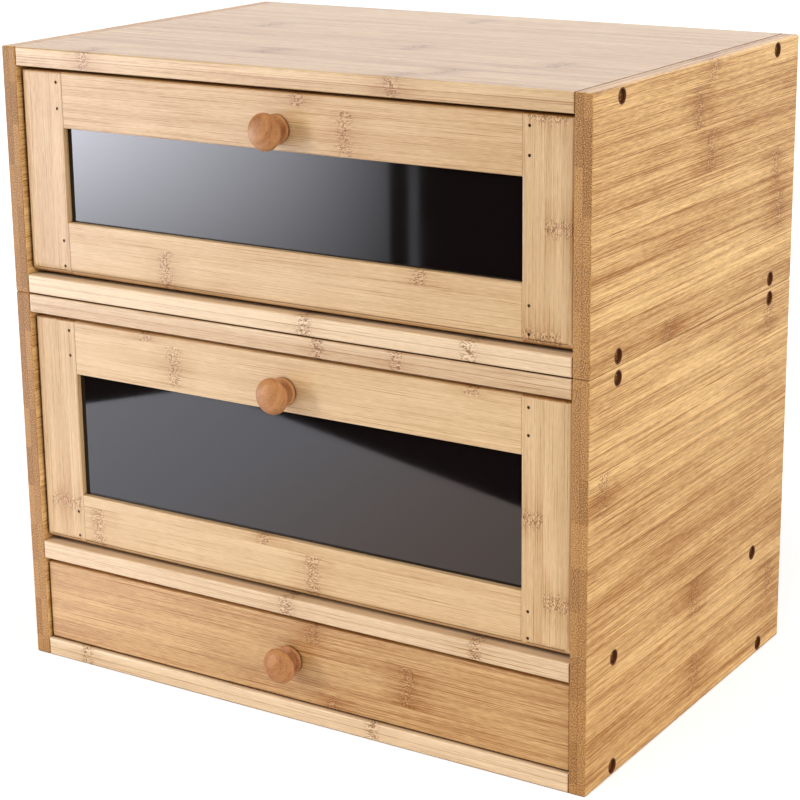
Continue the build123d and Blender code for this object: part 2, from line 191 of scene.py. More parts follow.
knuckle = {
    "ragged": (30.0, 4.0, 30.0),  # mm, how its outline wanders
    "raggedBy": 9.0,              # mm
    "edge": (-0.3, 0.8),          # mm, soft step at the edges of its strip
    "specksReach": (0.2, 1.1),    # from full to none, in half lengths of a knuckle
    "hazeReach": (0.0, 3.6),
    "speck": (1.2, 0.6, 0.6), "speckDetail": 0.0,    # mm
    "blot": (2.4, 1.3, 1.3), "blotDetail": 1.0,      # mm
    "blotShare": 0.8,
    "hollow": (0.03, 0.11),       # where specks turn dark
    "hollowDark": 0.85, "hollowColor": rgb(132, 78, 26),
    "ridge": (-0.10, -0.20),      # where specks turn pale
    "ridgeTone": -0.22,
    "hazeStreaks": 3.0,
    "scatterShare": 0.6,          # strips that have one, on boards that the photo doesn't show
    "scatterMargin": 15.0,        # mm from the ends of such a board
}

sawn = {
    "facing": (0.6, 0.8),         # how squarely a sawn face crosses the grain
    "pale": rgb(206, 154, 90), "deep": rgb(128, 80, 36),
    "tone": 0.48, "stripSpread": 0.42,
    "pore": (8.0, 0.62, 0.62), "poreDetail": 1.0,    # mm
    "poreDark": 4.0, "layerLineDark": 0.3,
}

bore = {
    # painted shade: the walls and floors of holes, a ring round each screw's bore on the side boards, and
    # the foot of each knob take this dark brown in place of the shade that falls there
    "paintedShade": rgb(98, 56, 32),
    "margins": (3.0, 3.0, 0.35),  # mm, deeper than this inside a board is the wall of a hole
    "soft": 0.3,                  # mm
    "screwReach": 9.0,            # mm, more than a screw head is wide
    "rimShade": (4.1, 4.7),         # mm from the middle of a screw, from full painted shade to none
}

# painted shade: where another surface is within reach, as in joints and gaps, the bamboo darkens to this
# colour and loses its gloss, in place of the shade that falls there
creviceShade = {
    "color": rgb(78, 38, 16),
    "reach": 2.8,                 # mm
    "dark": (0.14, 0.56),         # openness, from the painted shade colour to the wood's own
    "dull": (0.45, 0.85),         # openness, from no gloss to full gloss
    "flush": ("upper_top_board", "upper_left_side", "upper_right_side"),
    "upward": (0.2, 0.6),         # the faces of flush boards that look up are left without the painted shade
}


def knuckleGroup():
    # one knuckle, at u = Along between v = Low and v = High: its specks, and the wider haze
    group, start, end = newGroup(
        "knucklePatch",
        {"Place": "Vector", "Along": "Float", "Low": "Float", "High": "Float", "Half": "Float"},
        {"Mask": "Float", "Haze": "Float"},
    )
    place = separate(group, start["Place"])
    ragged = noise(group, stretched(group, place, knuckle["ragged"], start["Along"]))
    away = calc(group, "SUBTRACT", place[0], start["Along"])
    away = calc(group, "ABSOLUTE", addScaled(group, away, ragged, knuckle["raggedBy"]))
    away = calc(group, "DIVIDE", away, start["Half"])
    above = smooth(group, calc(group, "SUBTRACT", place[1], start["Low"]), *knuckle["edge"])
    below = smooth(group, calc(group, "SUBTRACT", start["High"], place[1]), *knuckle["edge"])
    within = calc(group, "MULTIPLY", above, below)
    for label, reach in (("Mask", "specksReach"), ("Haze", "hazeReach")):
        along = oneMinus(group, smooth(group, away, *knuckle[reach]))
        feed(group, end, {label: calc(group, "MULTIPLY", along, within)})
    return group


def drawnForStrip(tree, inStrip, inLayer, seed):
    # three random numbers for each strip of each layer
    eased = calc(tree, "SUBTRACT", inLayer, bamboo["layerEase"])
    cell = combine(tree, calc(tree, "FLOOR", inStrip), calc(tree, "FLOOR", eased), seed)
    draw = addNode(tree, "TexWhiteNoise", {"Vector": cell}, noise_dimensions="3D")
    return separate(tree, draw.outputs["Color"])


def glueLine(tree, distance):
    # 1 on a glue line, from the distance to it in mm
    return oneMinus(tree, smooth(tree, distance, *bamboo["glueLine"]))


def sawnColor(tree, place, draw, layerLine):
    # sawn ends: darker blocks, with the fibre ends as pores
    pore = noise(tree, stretched(tree, place, sawn["pore"]), sawn["poreDetail"])
    tone = addScaled(tree, sawn["tone"], calc(tree, "SUBTRACT", draw, 0.5), sawn["stripSpread"])
    tone = addScaled(tree, tone, pore, sawn["poreDark"])
    tone = addScaled(tree, tone, layerLine, sawn["layerLineDark"])
    return mixColor(tree, tone, sawn["pale"], sawn["deep"])


def bambooGroup():
    # colour, roughness and relief of bamboo from a place (along, across, through) in mm
    group, start, end = newGroup(
        "bambooFigure",
        {"Place": "Vector", "Layer": "Float", "Seed": "Float", "Knuckle": "Float", "Around": "Float",
         "EndGrain": "Float", "HoleShade": "Float", "Tone": "Float", "Contrast": "Float",
         "StripTone": "Float", "Haze": "Float", "Pale": "Color", "Deep": "Color"},
        {"Color": "Color", "Roughness": "Float", "Height": "Float"},
    )
    place = separate(group, start["Place"])
    inStrip = calc(group, "DIVIDE", place[1], bamboo["stripWidth"])
    inLayer = calc(group, "DIVIDE", place[2], start["Layer"])
    drawn = drawnForStrip(group, inStrip, inLayer, start["Seed"])
    shift = calc(group, "MULTIPLY", drawn[0], bamboo["stripShift"])

    # tone 0 is pale, 1 is deep
    figure = 0.0
    grains = {}
    for key, (length, width, strength, detail) in bamboo["grains"].items():
        drawnOut = stretched(group, place, (length, width, width), shift)
        grains[key] = noise(group, drawnOut, detail, bamboo["grainRoughness"])
        figure = addScaled(group, figure, grains[key], strength)
    thin = smooth(group, grains["thread"], *bamboo["thin"])
    figure = addScaled(group, figure, thin, bamboo["thinDark"])
    tone = addScaled(group, start["Tone"], figure, start["Contrast"])
    tone = addScaled(group, tone, calc(group, "SUBTRACT", drawn[1], 0.5), start["StripTone"])

    # a knuckle: brown haze, with dark and pale specks pressed into it
    speck = noise(group, stretched(group, place, knuckle["speck"], shift), knuckle["speckDetail"])
    blot = noise(group, stretched(group, place, knuckle["blot"], shift), knuckle["blotDetail"])
    speck = addScaled(group, speck, blot, knuckle["blotShare"])
    hollow = calc(group, "MULTIPLY", smooth(group, speck, *knuckle["hollow"]), start["Knuckle"])
    ridge = calc(group, "MULTIPLY", smooth(group, speck, *knuckle["ridge"]), start["Knuckle"])
    streaky = addScaled(group, 1.0, grains["streak"], knuckle["hazeStreaks"])
    hazy = calc(group, "MULTIPLY", start["Around"], streaky)
    tone = addScaled(group, tone, hazy, start["Haze"])
    tone = addScaled(group, tone, ridge, knuckle["ridgeTone"])

    # fine glue lines between strips and between layers
    fromStrip = calc(group, "MULTIPLY", calc(group, "PINGPONG", inStrip, 0.5), bamboo["stripWidth"])
    fromLayer = calc(group, "ABSOLUTE", calc(group, "SUBTRACT", place[2], start["Layer"]))
    stripLine = glueLine(group, fromStrip)
    layerLine = glueLine(group, fromLayer)
    tone = addScaled(group, tone, stripLine, bamboo["stripLineDark"])
    tone = addScaled(group, tone, layerLine, bamboo["layerLineDark"])

    color = mixColor(group, tone, start["Pale"], start["Deep"])
    pressed = calc(group, "MULTIPLY", hollow, knuckle["hollowDark"])
    color = mixColor(group, pressed, color, knuckle["hollowColor"])
    color = mixColor(group, start["EndGrain"], color, sawnColor(group, place, drawn[2], layerLine))
    # painted shade on the walls of holes and round the screw bores
    color = mixColor(group, start["HoleShade"], color, bore["paintedShade"])
    rough = addScaled(group, bamboo["rough"], grains["fibre"], bamboo["fibreRough"])
    rough = addScaled(group, rough, start["EndGrain"], bamboo["sawnRough"])
    rough = addScaled(group, rough, start["HoleShade"], bamboo["holeShadeRough"])
    height = calc(group, "MULTIPLY", grains["fibre"], bamboo["fibreRise"])
    height = addScaled(group, height, thin, bamboo["thinRise"])
    height = addScaled(group, height, stripLine, bamboo["lineRise"])
    specks = calc(group, "MULTIPLY", speck, start["Knuckle"])
    height = addScaled(group, height, specks, bamboo["speckRise"])
    feed(group, end, {"Color": color, "Roughness": rough, "Height": height})
    return group


knucklePatch = knuckleGroup()
bambooFigure = bambooGroup()

# finishes: pale and deep colour, middle tone, contrast of the grain, spread between the strips,
# haze round a knuckle, half length of a knuckle in mm, gloss, and whether a board has two layers
pale = rgb(239, 206, 158)
deep = rgb(168, 113, 46)
finishes = {
    "door": {
        "pale": pale, "deep": deep, "tone": 0.37, "contrast": 0.42, "strips": 0.12,
        "haze": 0.17, "knuckle": 6.5, "gloss": 0.38, "layered": False,
    },
    "board": {
        "pale": rgb(245, 216, 177), "deep": rgb(172, 121, 64), "tone": 0.23, "contrast": 0.38,
        "strips": 0.22, "haze": 0.12, "knuckle": 6.5, "gloss": 0.40, "layered": True,
    },
    "top": {
        "pale": rgb(236, 203, 154), "deep": rgb(162, 106, 42), "tone": 0.35, "contrast": 0.45,
        "strips": 0.19, "haze": 0.20, "knuckle": 6.5, "gloss": 0.50, "layered": True,
    },
    "side": {
        "pale": rgb(250, 206, 139), "deep": rgb(154, 93, 14), "tone": 0.48, "contrast": 0.68,
        "strips": 0.29, "haze": 0.22, "knuckle": 9.0, "gloss": 0.34, "layered": True,
    },
    "drawerFront": {
        "pale": rgb(239, 198, 138), "deep": rgb(155, 95, 34), "tone": 0.55, "contrast": 0.60,
        "strips": 0.16, "haze": 0.22, "knuckle": 6.5, "gloss": 0.38, "layered": False,
    },
    "inside": {
        "pale": pale, "deep": deep, "tone": 0.46, "contrast": 0.43, "strips": 0.21,
        "haze": 0.09, "knuckle": 6.5, "gloss": 0.30, "layered": False,
    },
}


def boxInMm(node):
    return (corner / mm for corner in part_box(node))


def scattered(node, grain, width, start, seed):
    # knuckles for a board that the photo doesn't show: one on about six strips of ten
    low, high = boxInMm(node)
    g, w = "xyz".index(grain), "xyz".index(width)
    first, last = low[g] + knuckle["scatterMargin"], high[g] - knuckle["scatterMargin"]
    dice = random.Random(seed)
    found = []
    step = bamboo["stripWidth"]
    edge = start - step * math.ceil((start - low[w]) / step)
    while edge < high[w]:
        if dice.random() < knuckle["scatterShare"]:
            found.append((dice.uniform(first, last), edge, edge + step))
        edge += step
    return found


def boredMask(tree, local, size, offset):
    # 1 on the walls and floor of a hole, which take painted shade: inside the board's outline and below
    # both its faces
    inside = 1.0
    for part, whole, begin, margin in zip(local, size, offset, bore["margins"]):
        fromLow = calc(tree, "SUBTRACT", part, begin)
        nearest = calc(tree, "MINIMUM", fromLow, calc(tree, "SUBTRACT", whole, fromLow))
        deepEnough = smooth(tree, nearest, margin, margin + bore["soft"])
        inside = calc(tree, "MULTIPLY", inside, deepEnough)
    return inside


def boreCentres(node):
    # (y, z) in mm of each screw in a side board: the mean of the points round the first one left
    screws = node.split("_")[0] + "_side_screws"
    outward = 1 if "right" in node else -1
    corners = np.array([v.co for v in nodes[screws].data.vertices]) / mm
    corners = corners[corners[:, 0] * outward > 0][:, 1:]
    centres = []
    while len(corners):
        near = np.hypot(*(corners - corners[0]).T) < bore["screwReach"]
        centres.append(corners[near].mean(0))
        corners = corners[~near]
    return centres


def rimShaded(tree, point, node):
    # 1 on a thin ring of painted shade round each bore of a side board
    y, z = (calc(tree, "DIVIDE", point[axis], mm) for axis in (1, 2))
    nearest = bore["rimShade"][1]
    for boreY, boreZ in boreCentres(node):
        across = calc(tree, "SUBTRACT", y, boreY)
        up = calc(tree, "SUBTRACT", z, boreZ)
        squared = addScaled(tree, calc(tree, "MULTIPLY", across, across), up, up)
        nearest = calc(tree, "MINIMUM", nearest, calc(tree, "SQRT", squared))
    return oneMinus(tree, smooth(tree, nearest, *bore["rimShade"]))


def bambooMaterial(node, finish, grain, width, start, knuckles, seed, toneShift):
    # bamboo on one node: grain and width are the axes along and across its strips, and start (mm)
    # is where a strip begins on the width axis
    look = finishes[finish]
    material, tree, shader = newMaterial("bamboo_" + node)
    coords = addNode(tree, "TexCoord").outputs
    point = separate(tree, coords["Object"])
    facing = separate(tree, coords["Normal"])
    through = "xyz".replace(grain, "").replace(width, "")
    axes = ["xyz".index(axis) for axis in (grain, width, through)]
    low, high = boxInMm(node)
    size = [high[axis] - low[axis] for axis in axes]
    origins = (0.0, start, low[axes[2]])
    offset = [low[axis] - origin for axis, origin in zip(axes, origins)]
    local = [addScaled(tree, -origin, point[axis], 1 / mm) for axis, origin in zip(axes, origins)]
    place = combine(tree, *local)
    # painted shade in the holes, and round the screw bores of the side boards
    paintedShade = boredMask(tree, local, size, offset)
    if finish == "side":
        paintedShade = calc(tree, "MAXIMUM", paintedShade, rimShaded(tree, point, node))

    marks = {}
    for along, bottom, top in knuckles:
        patch = addNode(tree, "Group", node_tree=knucklePatch)
        feed(tree, patch, {"Place": place, "Along": along, "Low": bottom - start, "High": top - start,
                           "Half": look["knuckle"]})
        for label, mark in patch.outputs.items():
            marks[label] = calc(tree, "MAXIMUM", marks[label], mark) if label in marks else mark

    figure = addNode(tree, "Group", node_tree=bambooFigure)
    feed(tree, figure, {
        "Place": place, "Layer": size[2] / 2 if look["layered"] else bamboo["layerless"],
        "Seed": seed * bamboo["seedStep"], "Tone": look["tone"] + toneShift,
        "Contrast": look["contrast"], "StripTone": look["strips"], "Haze": look["haze"],
        "Pale": look["pale"], "Deep": look["deep"], "HoleShade": paintedShade,
        "EndGrain": smooth(tree, calc(tree, "ABSOLUTE", facing[axes[0]]), *sawn["facing"]),
    })
    if marks:
        feed(tree, figure, {"Knuckle": marks["Mask"], "Around": marks["Haze"]})

    # painted shade: joints and gaps darken to the shade colour and lose their gloss, by how near other
    # surfaces are
    free = openness(tree, creviceShade["reach"])
    unshaded = smooth(tree, free, *creviceShade["dark"])
    if node in creviceShade["flush"]:
        unshaded = calc(tree, "MAXIMUM", unshaded, smooth(tree, facing[2], *creviceShade["upward"]))
    glossy = smooth(tree, free, *creviceShade["dull"])
    feed(tree, shader, {
        "Base Color": mixColor(tree, unshaded, creviceShade["color"], figure.outputs["Color"]),
        "Roughness": figure.outputs["Roughness"],
        "Specular IOR Level": calc(tree, "MULTIPLY", glossy, look["gloss"]),
        "Normal": relief(tree, figure.outputs["Height"], *bamboo["bump"]),
    })
    return material


# every bamboo piece: finish, grain axis, width axis, where a strip begins in mm, its knuckles as
# (along, low, high) in mm where None scatters them, and how much deeper its tone is

boardLooks = {
    "upper_right_side": ("side", "y", "z", 359.8, [
        (12, 360, 373), (-7, 336, 360), (10, 311, 335), (100, 287, 311), (107, 262, 286),
        (-38, 227, 240)], 0.02),
    "upper_left_side": ("side", "y", "z", 352.0, None, 0),
    "lower_right_side": ("side", "y", "z", 200.0, [
        (97, 200, 224), (-112, 152, 175), (3, 56, 80), (108, 33, 56), (5, 9, 32)], 0.02),
    "lower_left_side": ("side", "y", "z", 205.0, None, 0),
    "upper_top_board": ("top", "x", "y", -110.0, [
        (-130, -129, -110), (75, -129, -110), (90, -110, -86), (-40, -86, -61), (130, -61, -37),
        (25, -37, -13), (-110, 11, 35), (-5, 84, 108)], 0),
    "upper_bottom_board": ("board", "x", "y", -114.0, [
        (15, -129, -114), (121, -129, -114), (60, -90, -66)], 0),
    "lower_top_board": ("board", "x", "y", -112.0, [
        (75, -129, -112), (25, -129, -112), (-90, -88, -64)], 0.26),
    "drawer_shelf": ("board", "x", "y", -116.0, [
        (0, -129, -116), (123, -129, -116), (-60, -92, -68)], 0.10),
    "lower_bottom_board": ("board", "x", "y", -113.0, [
        (55, -129, -113), (-150, -129, -113)], 0.02),
    "upper_top_rail": ("door", "x", "z", 352.0, [(13, 352, 361), (43, 328, 352)], 0.16),
    "upper_bottom_rail": ("door", "x", "z", 264.0, [(-79, 240, 264), (88, 264, 273)], 0),
    "upper_left_stile": ("door", "z", "x", -152.0, [], 0.19),
    "upper_right_stile": ("door", "z", "x", 162.0, [
        (303, 162, 180), (246, 148, 172), (360, 152, 175)], 0),
    "lower_top_rail": ("door", "x", "z", 209.0, [
        (-97, 209, 215), (-76, 185, 209), (120, 209, 215)], 0),
    "lower_bottom_rail": ("door", "x", "z", 101.0, [
        (-138, 77, 101), (16, 77, 101), (-17, 101, 108)], 0),
    "lower_left_stile": ("door", "z", "x", -150.0, [(102, -174, -150)], 0.04),
    "lower_right_stile": ("door", "z", "x", 162.0, [(148, 149, 162), (104, 162, 180)], 0),
    "drawer_front": ("drawerFront", "x", "z", 48.0, [(16, 48, 61), (78, 24, 48), (28, 10, 20)], 0),
    "upper_back_panel": ("inside", "x", "z", 360.0, None, 0),
    "lower_back_panel": ("inside", "x", "z", 200.0, None, 0),
    "drawer_left_wall": ("inside", "y", "z", 35.0, None, 0),
    "drawer_right_wall": ("inside", "y", "z", 30.0, None, 0),
    "drawer_back": ("inside", "x", "z", 33.0, None, 0),
    "drawer_bottom": ("inside", "x", "y", -100.0, None, 0),
    "upper_door_stop": ("inside", "x", "z", 355.0, [], 0),
    "lower_door_stop": ("inside", "x", "z", 210.0, [], 0),
}

for seed, (node, look) in enumerate(boardLooks.items()):
    finish, grain, width, start, knuckles, toneShift = look
    if knuckles is None:
        knuckles = scattered(node, grain, width, start, seed)
    dress(node, bambooMaterial(node, finish, grain, width, start, knuckles, seed + 1, toneShift))
print("bamboo:", len(boardLooks), "boards")


# close-grained hardwood of the knobs and dowels

hardwood = {
    "growth": (30.0, 1.5, 9.0), "growthNoise": (3.0, 0.55),    # mm, and detail and roughness
    "cloud": (12.0, 8.0, 8.0), "cloudNoise": (2.0, 0.5),
    "pore": (2.2, 0.4, 0.4), "poreNoise": (1.0, 0.6), "poreFrom": (0.08, 0.20),
    "growthDark": 0.9, "cloudDark": 1.0, "poreDark": 0.45,
    "tone": 0.45, "rough": 0.48, "gloss": 0.12,
    "footShadeReach": 5.0,                                # mm, reach of the painted shade where the neck meets the wood
    "foot": (0.25, 0.75),                            # openness, from full painted shade to none
    "bump": (0.2, 0.2),                              # strength, and depth in mm
    "knob": (rgb(214, 154, 98), rgb(142, 84, 46), (0.5, 0.9, 0.3)),    # pale, deep, turn in radians
    "dowel": (rgb(222, 190, 144), rgb(184, 142, 96), (0.0, math.pi / 2, 0.0)),
}


def hardwoodMaterial(name, palest, deepest, turn):
    # growth lines across the piece, with soft clouds and short dark pores
    material, tree, shader = newMaterial(
        name, {"Roughness": hardwood["rough"], "Specular IOR Level": hardwood["gloss"]})
    inMm = addNode(tree, "Mapping", {"Vector": objectPlace(tree), "Rotation": turn,
                                     "Scale": (1 / mm, 1 / mm, 1 / mm)})
    place = separate(tree, inMm.outputs[0])
    growth = noise(tree, stretched(tree, place, hardwood["growth"]), *hardwood["growthNoise"])
    cloud = noise(tree, stretched(tree, place, hardwood["cloud"]), *hardwood["cloudNoise"])
    pore = noise(tree, stretched(tree, place, hardwood["pore"]), *hardwood["poreNoise"])
    tone = addScaled(tree, hardwood["tone"], growth, hardwood["growthDark"])
    tone = addScaled(tree, tone, cloud, hardwood["cloudDark"])
    tone = addScaled(tree, tone, smooth(tree, pore, *hardwood["poreFrom"]), hardwood["poreDark"])
    # painted shade where another surface is near, as at the foot of a knob's neck: darker brown the less
    # open it is
    unshaded = smooth(tree, openness(tree, hardwood["footShadeReach"]), *hardwood["foot"])
    color = mixColor(tree, unshaded, bore["paintedShade"], mixColor(tree, tone, palest, deepest))
    feed(tree, shader, {"Base Color": color, "Normal": relief(tree, growth, *hardwood["bump"])})
    return material


knobWood = hardwoodMaterial("knobHardwood", *hardwood["knob"])
dowelWood = hardwoodMaterial("dowelHardwood", *hardwood["dowel"])
dress("stacking_dowels", dowelWood)
dress("drawer_dowels", dowelWood)


# metal, ferrite and acrylic

metal = {
    "fine": (3.0, 0.6, 1800.0), "cloud": (2.0, 0.5, 260.0),    # detail, roughness, scale per metre
    "tone": 0.5, "fineDark": 0.9, "cloudDark": 0.9, "fineRough": 0.25,
    "bump": (0.15, 0.05),     # strength, and depth in mm
}
# how its nodes' names end, bright and dull colour, roughness, and how metallic it is
metals = {
    "yellowZinc": (("screws", "screw"), rgb(255, 228, 164), rgb(196, 152, 88), 0.26, 1.0),
    "dullWire": ("brads", rgb(128, 96, 70), rgb(76, 52, 36), 0.5, 1.0),
    "turnedSteel": ("hinge_pins", rgb(214, 214, 210), rgb(168, 168, 166), 0.3, 1.0),
    "zincPlate": ("strike_plate", rgb(206, 208, 210), rgb(160, 162, 166), 0.38, 1.0),
    "ferrite": ("catch_magnet", rgb(58, 55, 54), rgb(34, 32, 32), 0.55, 0.2),
}


def metalMaterial(name, bright, dull, rough, metallic):
    # fine noise in its tone, its gloss and its relief
    material, tree, shader = newMaterial(name, {"Metallic": metallic})
    place = objectPlace(tree)
    fine = noise(tree, place, *metal["fine"])
    cloud = noise(tree, place, *metal["cloud"])
    tone = addScaled(tree, metal["tone"], fine, metal["fineDark"])
    tone = addScaled(tree, tone, cloud, metal["cloudDark"])
    feed(tree, shader, {
        "Base Color": mixColor(tree, tone, bright, dull),
        "Roughness": addScaled(tree, rough, fine, metal["fineRough"]),
        "Normal": relief(tree, fine, *metal["bump"]),
    })
    return material


for name, (ending, *look) in metals.items():
    material = metalMaterial(name, *look)
    for node in nodes:
        if node.endswith(ending):
            dress(node, material)

smoke = {
    "grit": (2.0, 0.5, 900.0), "haze": (3.0, 0.6, 30.0),       # detail, roughness, scale per metre
    "tint": rgb(20, 15, 14), "dust": rgb(38, 32, 31), "dustFrom": (0.16, 0.24),
    "rough": 0.04, "hazeRough": 0.04, "index": 1.49, "alpha": 0.95,
}


def acrylicMaterial():
    # dark smoked sheet, with faint dust and polish marks
    material, tree, shader = newMaterial(
        "smokedAcrylic", {"IOR": smoke["index"], "Alpha": smoke["alpha"]})
    place = objectPlace(tree)
    haze = noise(tree, place, *smoke["haze"])
    dusty = smooth(tree, noise(tree, place, *smoke["grit"]), *smoke["dustFrom"])
    feed(tree, shader, {
        "Base Color": mixColor(tree, dusty, smoke["tint"], smoke["dust"]),
        "Roughness": addScaled(tree, smoke["rough"], haze, smoke["hazeRough"]),
    })
    return material


acrylic = acrylicMaterial()
dress("upper_pane", acrylic)
dress("lower_pane", acrylic)
print("metal and acrylic: done")


# knobs, turned on a lathe: (radius, height) in mm that the outline passes through

knobShape = {
    "flange": (8.2, 1.3), "flangeTop": (6.9, 2.6), "neckFoot": (5.0, 2.6), "neck": (5.2, 4.7),
    "capBack": (8.0, 8.5), "widest": (10.3, 11.3), "shoulder": (8.7, 14.3), "crown": (5.3, 15.95),
    "tip": (0.0, 16.7),
    "steps": 96, "rings": 9,     # round the knob, and between two points of its outline
}
knobBodies = {
    "upper_door_knob": "upper_door", "lower_door_knob": "lower_door", "drawer_knob": "drawer",
}


def smoothThrough(points, rings):
    # between two points p1 and p2 the curve is the cubic whose slope at each is half the step
    # between that point's neighbours
    ends = np.vstack([2 * points[0] - points[1], points, 2 * points[-1] - points[-2]])
    p0, p1, p2, p3 = ends[:-3, None], ends[1:-2, None], ends[2:-1, None], ends[3:, None]
    t = (np.arange(rings) / rings)[None, :, None]
    curve = 0.5 * (2 * p1 + (p2 - p0) * t + (2 * p0 - 5 * p1 + 4 * p2 - p3) * t ** 2
                   + (3 * p1 - p0 - 3 * p2 + p3) * t ** 3)
    return np.vstack([curve.reshape(-1, 2), points[-1]])


def knobProfile(shape):
    # a half-round flange on the face, a step in to the neck, then a smooth curve through the cap to
    # the tip; the crown is mirrored past the axis so that the curve meets it square
    rim = shape["flange"][1]
    turn = np.linspace(-0.5, 0.5, shape["rings"], endpoint=False)[:, None] * math.pi
    flange = np.hstack([shape["flangeTop"][0] + rim * np.cos(turn), rim + rim * np.sin(turn)])
    stops = [shape[key] for key in ("neckFoot", "neck", "capBack", "widest", "shoulder", "crown", "tip")]
    mirrored = (-shape["crown"][0], shape["crown"][1])
    cap = smoothThrough(np.array(stops + [mirrored]), shape["rings"])[:-shape["rings"]]
    return np.vstack([[0, 0], flange, shape["flangeTop"], cap])


def lathe(name, profile, center, steps):
    # the profile carried round the -Y axis: x = r cos a, z = r sin a, y = -height, from the center
    ring = profile[1:-1]
    angle = np.arange(steps) / steps * 2 * math.pi
    grid = np.stack([
        np.outer(ring[:, 0], np.cos(angle)),
        -np.repeat(ring[:, 1:], steps, 1),
        np.outer(ring[:, 0], np.sin(angle)),
    ], -1).reshape(-1, 3)
    poles = np.array([[0, -profile[0, 1], 0], [0, -profile[-1, 1], 0]])
    points = np.concatenate([grid, poles]) * mm + np.array(center)

    # four-sided faces between rings, and a fan of triangles at each pole
    rows = len(ring)
    j = np.arange(steps)
    follow = (j + 1) % steps
    i = np.arange(rows - 1)[:, None]
    quads = np.stack([i * steps + j, (i + 1) * steps + j, (i + 1) * steps + follow, i * steps + follow], -1)
    basePole = np.full(steps, rows * steps)
    last = (rows - 1) * steps
    base = np.stack([j, follow, basePole], 1)
    tip = np.stack([last + follow, last + j, basePole + 1], 1)
    mesh = bpy.data.meshes.new(name)
    mesh.from_pydata(points.tolist(), [], quads.reshape(-1, 4).tolist() + base.tolist() + tip.tolist())
    mesh.shade_smooth()
    piece = bpy.data.objects.new(name, mesh)
    bpy.context.scene.collection.objects.link(piece)
    return piece


for node, body in knobBodies.items():
    low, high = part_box(node)
    center = ((low.x + high.x) / 2, high.y, (low.z + high.z) / 2)
    knob = lathe("turned_" + node, knobProfile(knobShape), center, knobShape["steps"])
    knob.data.materials.append(knobWood)
    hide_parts(node)
    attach(knob, body)
    dress(node, knobWood)
print("knobs:", len(knobBodies))


# studio: floor, light, reflected cards and camera

studio = {
    "floorSize": 16.0, "floorColor": (0.85, 0.85, 0.85, 1.0), "floorLift": 0.50, "floorRough": 0.9,
    "white": (1, 1, 1, 1), "ambient": 0.31,
    "lamps": {
        "keyLeft": {"from": (-0.70, -0.64, 0.32), "strength": 1.25, "angle": 20},
        "frontTop": {"from": (-0.05, -0.72, 0.69), "strength": 0.68, "angle": 50},
        "fillRight": {"from": (0.96, -0.14, 0.24), "strength": 2.08, "angle": 50},
        "backFill": {"from": (0.10, 0.98, 0.14), "strength": 1.2, "angle": 60},
    },
}


def staged(name, corners, material):
    # a flat card through its corners
    mesh = bpy.data.meshes.new(name)
    mesh.from_pydata(corners, [], [tuple(range(len(corners)))])
    card = bpy.data.objects.new(name, mesh)
    bpy.context.scene.collection.objects.link(card)
    mesh.materials.append(material)
    return card


def level(name, corners, height, material):
    return staged(name, [(x, y, height) for x, y in corners], material)


def floorMaterial():
    # pale, and lifted to white only where the camera sees it
    material, tree, shader = newMaterial("paleFloor", {
        "Base Color": studio["floorColor"], "Emission Color": studio["white"],
        "Roughness": studio["floorRough"], "Specular IOR Level": 0.0,
    })
    seen = addNode(tree, "LightPath").outputs["Is Camera Ray"]
    feed(tree, shader, {"Emission Strength": calc(tree, "MULTIPLY", seen, studio["floorLift"])})
    return material


reach = studio["floorSize"] / 2
level("floor", [(-reach, -reach), (reach, -reach), (reach, reach), (-reach, reach)], 0, floorMaterial())

# the world is white where it is seen, mirrored or shone through, and ambient elsewhere
world = bpy.data.worlds.new("studio")
bpy.context.scene.world = world
world.use_nodes = True
tree = world.node_tree
rays = addNode(tree, "LightPath").outputs
mirrored = calc(tree, "MAXIMUM", rays["Is Glossy Ray"], rays["Is Transmission Ray"])
direct = calc(tree, "MAXIMUM", rays["Is Camera Ray"], mirrored)
feed(tree, tree.nodes["Background"], {
    "Color": studio["white"],
    "Strength": addScaled(tree, studio["ambient"], direct, 1.0 - studio["ambient"]),
})

for name, lamp in studio["lamps"].items():
    light = bpy.data.lights.new(name, "SUN")
    light.energy = lamp["strength"]
    light.angle = math.radians(lamp["angle"])
    holder = bpy.data.objects.new(name, light)
    holder.rotation_euler = Vector(lamp["from"]).to_track_quat("Z", "Y").to_euler()
    bpy.context.scene.collection.objects.link(holder)

